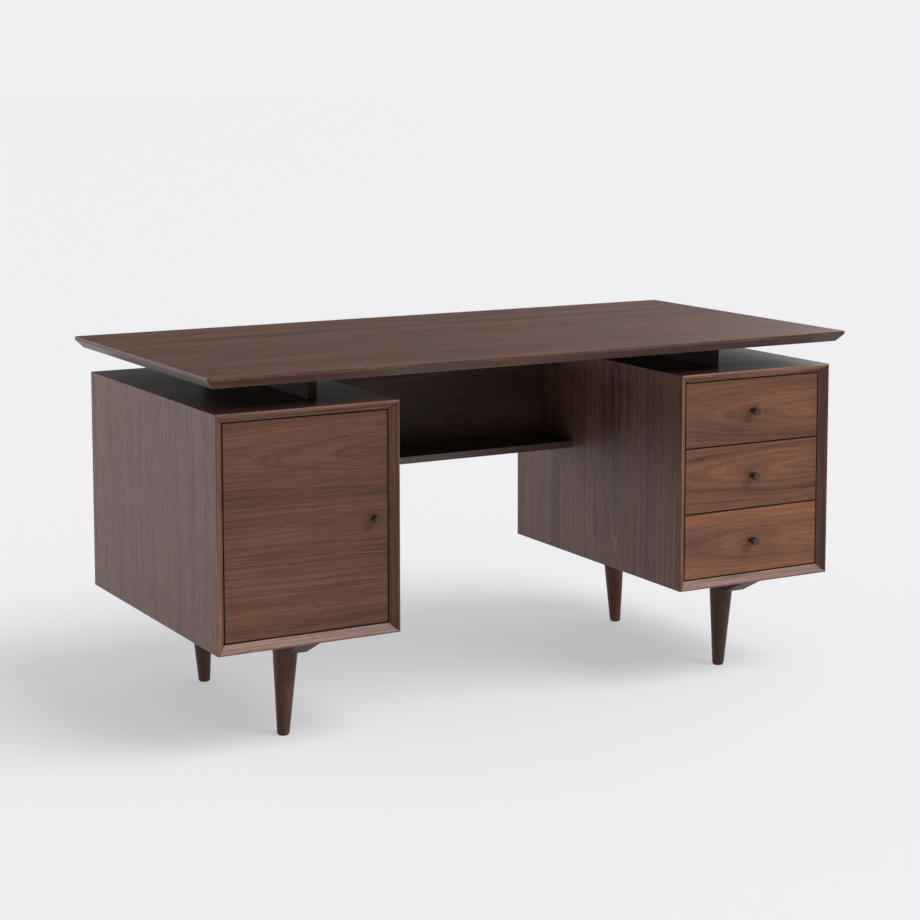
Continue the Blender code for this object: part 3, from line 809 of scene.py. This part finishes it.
# %% Shape the case boards
for side, other, sign in (("left", "right", -1), ("right", "left", 1)):
    for part, outward, face_wood, edge_wood in (
            ("top", (0, 0, 1), level_wood, frame_wood),
            ("bottom", (0, 0, -1), level_wood, frame_wood),
            ("outer_side", (sign, 0, 0), side_wood, stile_woods[side]),
            ("inner_side", (-sign, 0, 0), knee_wood, stile_woods[other])):
        node = f"{side}_case_{part}"
        low, high = corners(node)
        shape = case_board(low, high, outward, high[1] - low[1])
        board = add_piece("mitred_" + node, shape, face_wood, node)
        board.data.materials.append(edge_wood)
        centres = np.empty(len(board.data.polygons) * 3)
        board.data.polygons.foreach_get("center", centres)
        on_edge = centres.reshape(-1, 3)[:, 1] < low[1] + RECESS
        board.data.polygons.foreach_set("material_index", on_edge.astype(int))
print("two mitred cases")

# %% [markdown]
# ## The door and its hinge borings
#
# The door is one eased board with two round borings in its back for the hinge cups. The
# borings are cut with the exact Boolean solver and applied at once, so the piece keeps
# a plain mesh and carries no live modifier.


# %% Turned shapes
def turned(profile, axis, place, sides=48):
    """Point = (radius * cos a, radius * sin a, height), stood on an axis at a place."""
    radius, height = np.asarray(profile, dtype=float).T
    angle = np.linspace(0, 2 * math.pi, sides, endpoint=False)
    x = np.outer(radius, np.cos(angle))
    y = np.outer(radius, np.sin(angle))
    z = np.broadcast_to(height[:, None], x.shape)
    grid = {"Z": (x, y, z), "-Y": (x, -z, y), "Y": (x, z, -y), "X": (z, x, y), "-X": (-z, y, x)}
    return skin(np.stack(grid[axis], axis=-1) + np.asarray(place, dtype=float))


print("turned shapes stand on Z, Y or X")

# %% Shape the door
CUP_RADIUS = 0.0175
CUP_CLEAR = 0.0003
PAST_BACK = 0.02
DOOR_EASE = 0.0009
BORE_BEND = math.radians(40)

door_low, door_high = corners("door")
door = add_piece("eased_door", eased_board(door_low, door_high, DOOR_EASE), door_wood, "door")
door.modifiers.clear()
for level in ("lower", "upper"):
    cup_low, cup_high = corners("hinge_cup_" + level)
    cup_middle = (cup_low + cup_high) / 2
    bore_radius = CUP_RADIUS + CUP_CLEAR
    bore = [(bore_radius, -PAST_BACK),
            (bore_radius, door_high[1] - cup_low[1] + CUP_CLEAR)]
    cutter = solid_object("bore_" + level, turned(
        bore, "-Y", (cup_middle[0], door_high[1], cup_middle[2])))
    cut = door.modifiers.new("bore", "BOOLEAN")
    cut.operation = "DIFFERENCE"
    cut.solver = "EXACT"
    cut.object = cutter
    bpy.context.view_layer.update()
    bored = bpy.data.meshes.new_from_object(
        door.evaluated_get(bpy.context.evaluated_depsgraph_get()))
    door.modifiers.clear()
    door.data = bored
    bpy.data.objects.remove(cutter, do_unlink=True)
door.data.set_sharp_from_angle(angle=BORE_BEND)
even_normals(door)
print("door has", len(door.data.polygons), "faces")

# %% [markdown]
# ## Turned knobs
#
# The small knobs are turned from walnut: a neck that swells into a round head with a
# slightly domed face. One profile of (radius, distance from the front) spun round the
# knob's axis makes them all.

# %% Shape the knobs
KNOB_NECK = 0.0060
KNOB_HEAD = 0.0095
KNOB_RIM = 0.0016
KNOB_DOME = 0.0006


def knob_profile(length):
    """Neck to head along half a cosine wave, then a rounded rim and a shallow dome."""
    share = np.linspace(0, 1, 14)
    flare = (1 - np.cos(math.pi * share)) / 2
    swell = np.stack([KNOB_NECK + (KNOB_HEAD - KNOB_NECK) * flare, 0.75 * length * share],
                     axis=-1)
    face = KNOB_HEAD - KNOB_RIM
    angle = np.linspace(0, math.pi / 2, 6)
    rim = np.stack([face + KNOB_RIM * np.cos(angle),
                    length - KNOB_DOME - KNOB_RIM + KNOB_RIM * np.sin(angle)], axis=-1)
    radius = np.linspace(face, KNOB_DOME, 6)[1:]
    dome = np.stack([radius, length - KNOB_DOME * (radius / face) ** 2], axis=-1)
    return np.vstack([[(KNOB_NECK, 0.0)], swell[1:], rim, dome])


print("knob neck and head:", KNOB_NECK, KNOB_HEAD)

# %% Turn the knobs
knob_wood = wood("knob_walnut", "Y", "Z", (0, 0, 0.44), (0, 0.2), 0.02, 0.05, SOLID_SHADES,
                 rings=2.2, figure=0.4, gloss=0.34, shine=0.55, seed=37.0, tone=0.85)
for node in ("door_knob", "drawer_knob_top", "drawer_knob_middle", "drawer_knob_bottom"):
    low, high = corners(node)
    middle = (low + high) / 2
    shape = turned(knob_profile(high[1] - low[1]), "-Y", (middle[0], high[1], middle[2]))
    add_piece("turned_" + node, shape, knob_wood, node)
print("four knobs")

# %% [markdown]
# ## Legs, battens and pads
#
# Each leg is turned to a straight taper and set into the batten at a slight lean, which
# is a sideways shear that grows with the distance below the top. The batten is a bar
# with its ends cut to a long slant, drawn as a side view and swept across its width. A
# thin pad under each foot keeps the wood off the floor.

# %% Shape the legs and battens
FOOT_PAD = 0.0018
FOOT_RADIUS = 0.0125
PAD_RADIUS = 0.0104
LEG_LEAN = 0.006
POLE = 0.001

pad = bpy.data.materials.new("foot_pad")
pad.use_nodes = True
pad_tree = pad.node_tree
pad_shader = pad_tree.nodes["Principled BSDF"]
pad_place = add_node(pad_tree, "ShaderNodeTexCoord").outputs["Object"]
pad_felt = add_node(pad_tree, "ShaderNodeTexNoise", {"Vector": pad_place, "Scale": 900.0,
                    "Detail": 3.0}).outputs["Fac"]
pad_tree.links.new(ramped(pad_tree, pad_felt, [(0.0, (0.012, 0.011, 0.010)),
                                               (1.0, (0.045, 0.042, 0.040))]),
                   pad_shader.inputs["Base Color"])
pad_shader.inputs["Roughness"].default_value = 0.9

for end, lean in (("front", -LEG_LEAN), ("rear", LEG_LEAN)):
    for side in ("left", "right"):
        node = f"{end}_leg_{side}"
        low, high = corners(node)
        top_radius = (high[1] - low[1]) / 2
        height = high[2] - low[2]
        head_x = (high[0] - top_radius) if lean < 0 else (low[0] + top_radius)
        middle_y = (low[1] + high[1]) / 2
        profile = rounded_line([(POLE, 0), (FOOT_RADIUS, 0), (top_radius, height - FOOT_PAD),
                                (POLE, height - FOOT_PAD)], (0.0022, 0.0006))
        points, faces = turned(profile, "Z", (head_x, middle_y, low[2] + FOOT_PAD), sides=64)
        points[:, 0] += lean * (high[2] - points[:, 2]) / height
        add_piece("turned_" + node, (points, faces), leg_wood, node)
        disc = rounded_line([(POLE, 0), (PAD_RADIUS, 0), (PAD_RADIUS, FOOT_PAD),
                             (POLE, FOOT_PAD)], (0.0004, 0.0002))
        add_piece("pad_" + node, turned(disc, "Z", (head_x + lean, middle_y, low[2])),
                  pad, node, stands_for=False)
print("four legs and four pads")

# %% [markdown]
# The batten's side view is swept across its width. Near both faces it shrinks towards
# its middle along a quarter circle, which eases the long arrises.

# %% Shape the battens
CHAMFER_RUN = 0.066
BATTEN_EASE = 0.0009

for side in ("left", "right"):
    node = "batten_" + side
    low, high = corners(node)
    outline = rounded_line([(low[1], high[2]), (high[1], high[2]),
                            (high[1] - CHAMFER_RUN, low[2]), (low[1] + CHAMFER_RUN, low[2])],
                           (0.0006, 0.0006, 0.004, 0.004), closed=True)
    angle = np.linspace(0, math.pi / 2, 4)
    x = np.concatenate([low[0] + BATTEN_EASE * (1 - np.sin(angle[::-1])),
                        high[0] - BATTEN_EASE * (1 - np.sin(angle))])
    shrink = BATTEN_EASE * (1 - np.concatenate([np.cos(angle[::-1]), np.cos(angle)]))
    towards_middle = np.sign(outline.mean(axis=0) - outline)
    rings = np.empty((len(x), len(outline), 3))
    rings[:, :, 0] = x[:, None]
    rings[:, :, 1:] = outline + shrink[:, None, None] * towards_middle
    add_piece("chamfered_" + node, skin(rings), rail_wood, node)
print("two battens")

# %% [markdown]
# ## Drawer sides, slides and hinges
#
# The drawer sides, the folded slides and the hinge parts already have the right shape in
# the frame. They keep their meshes and get a finish: pale wood for the sides and plated
# steel for the rest. A part that a new eased board stands for is passed over.

# %% Finish the parts that keep their shape
kept = {"drawer_box": drawer_side_wood, "slide_steel": zinc, "hinge_steel": nickel}
finished = 0
for node, obj in frame["nodes"].items():
    material = kept.get(slot_of[node])
    if material is None or "eased_" + node in bpy.data.objects:
        continue
    for index in range(len(obj.material_slots)):
        obj.material_slots[index].material = material
    finished += 1
print(finished, "parts keep their shape")
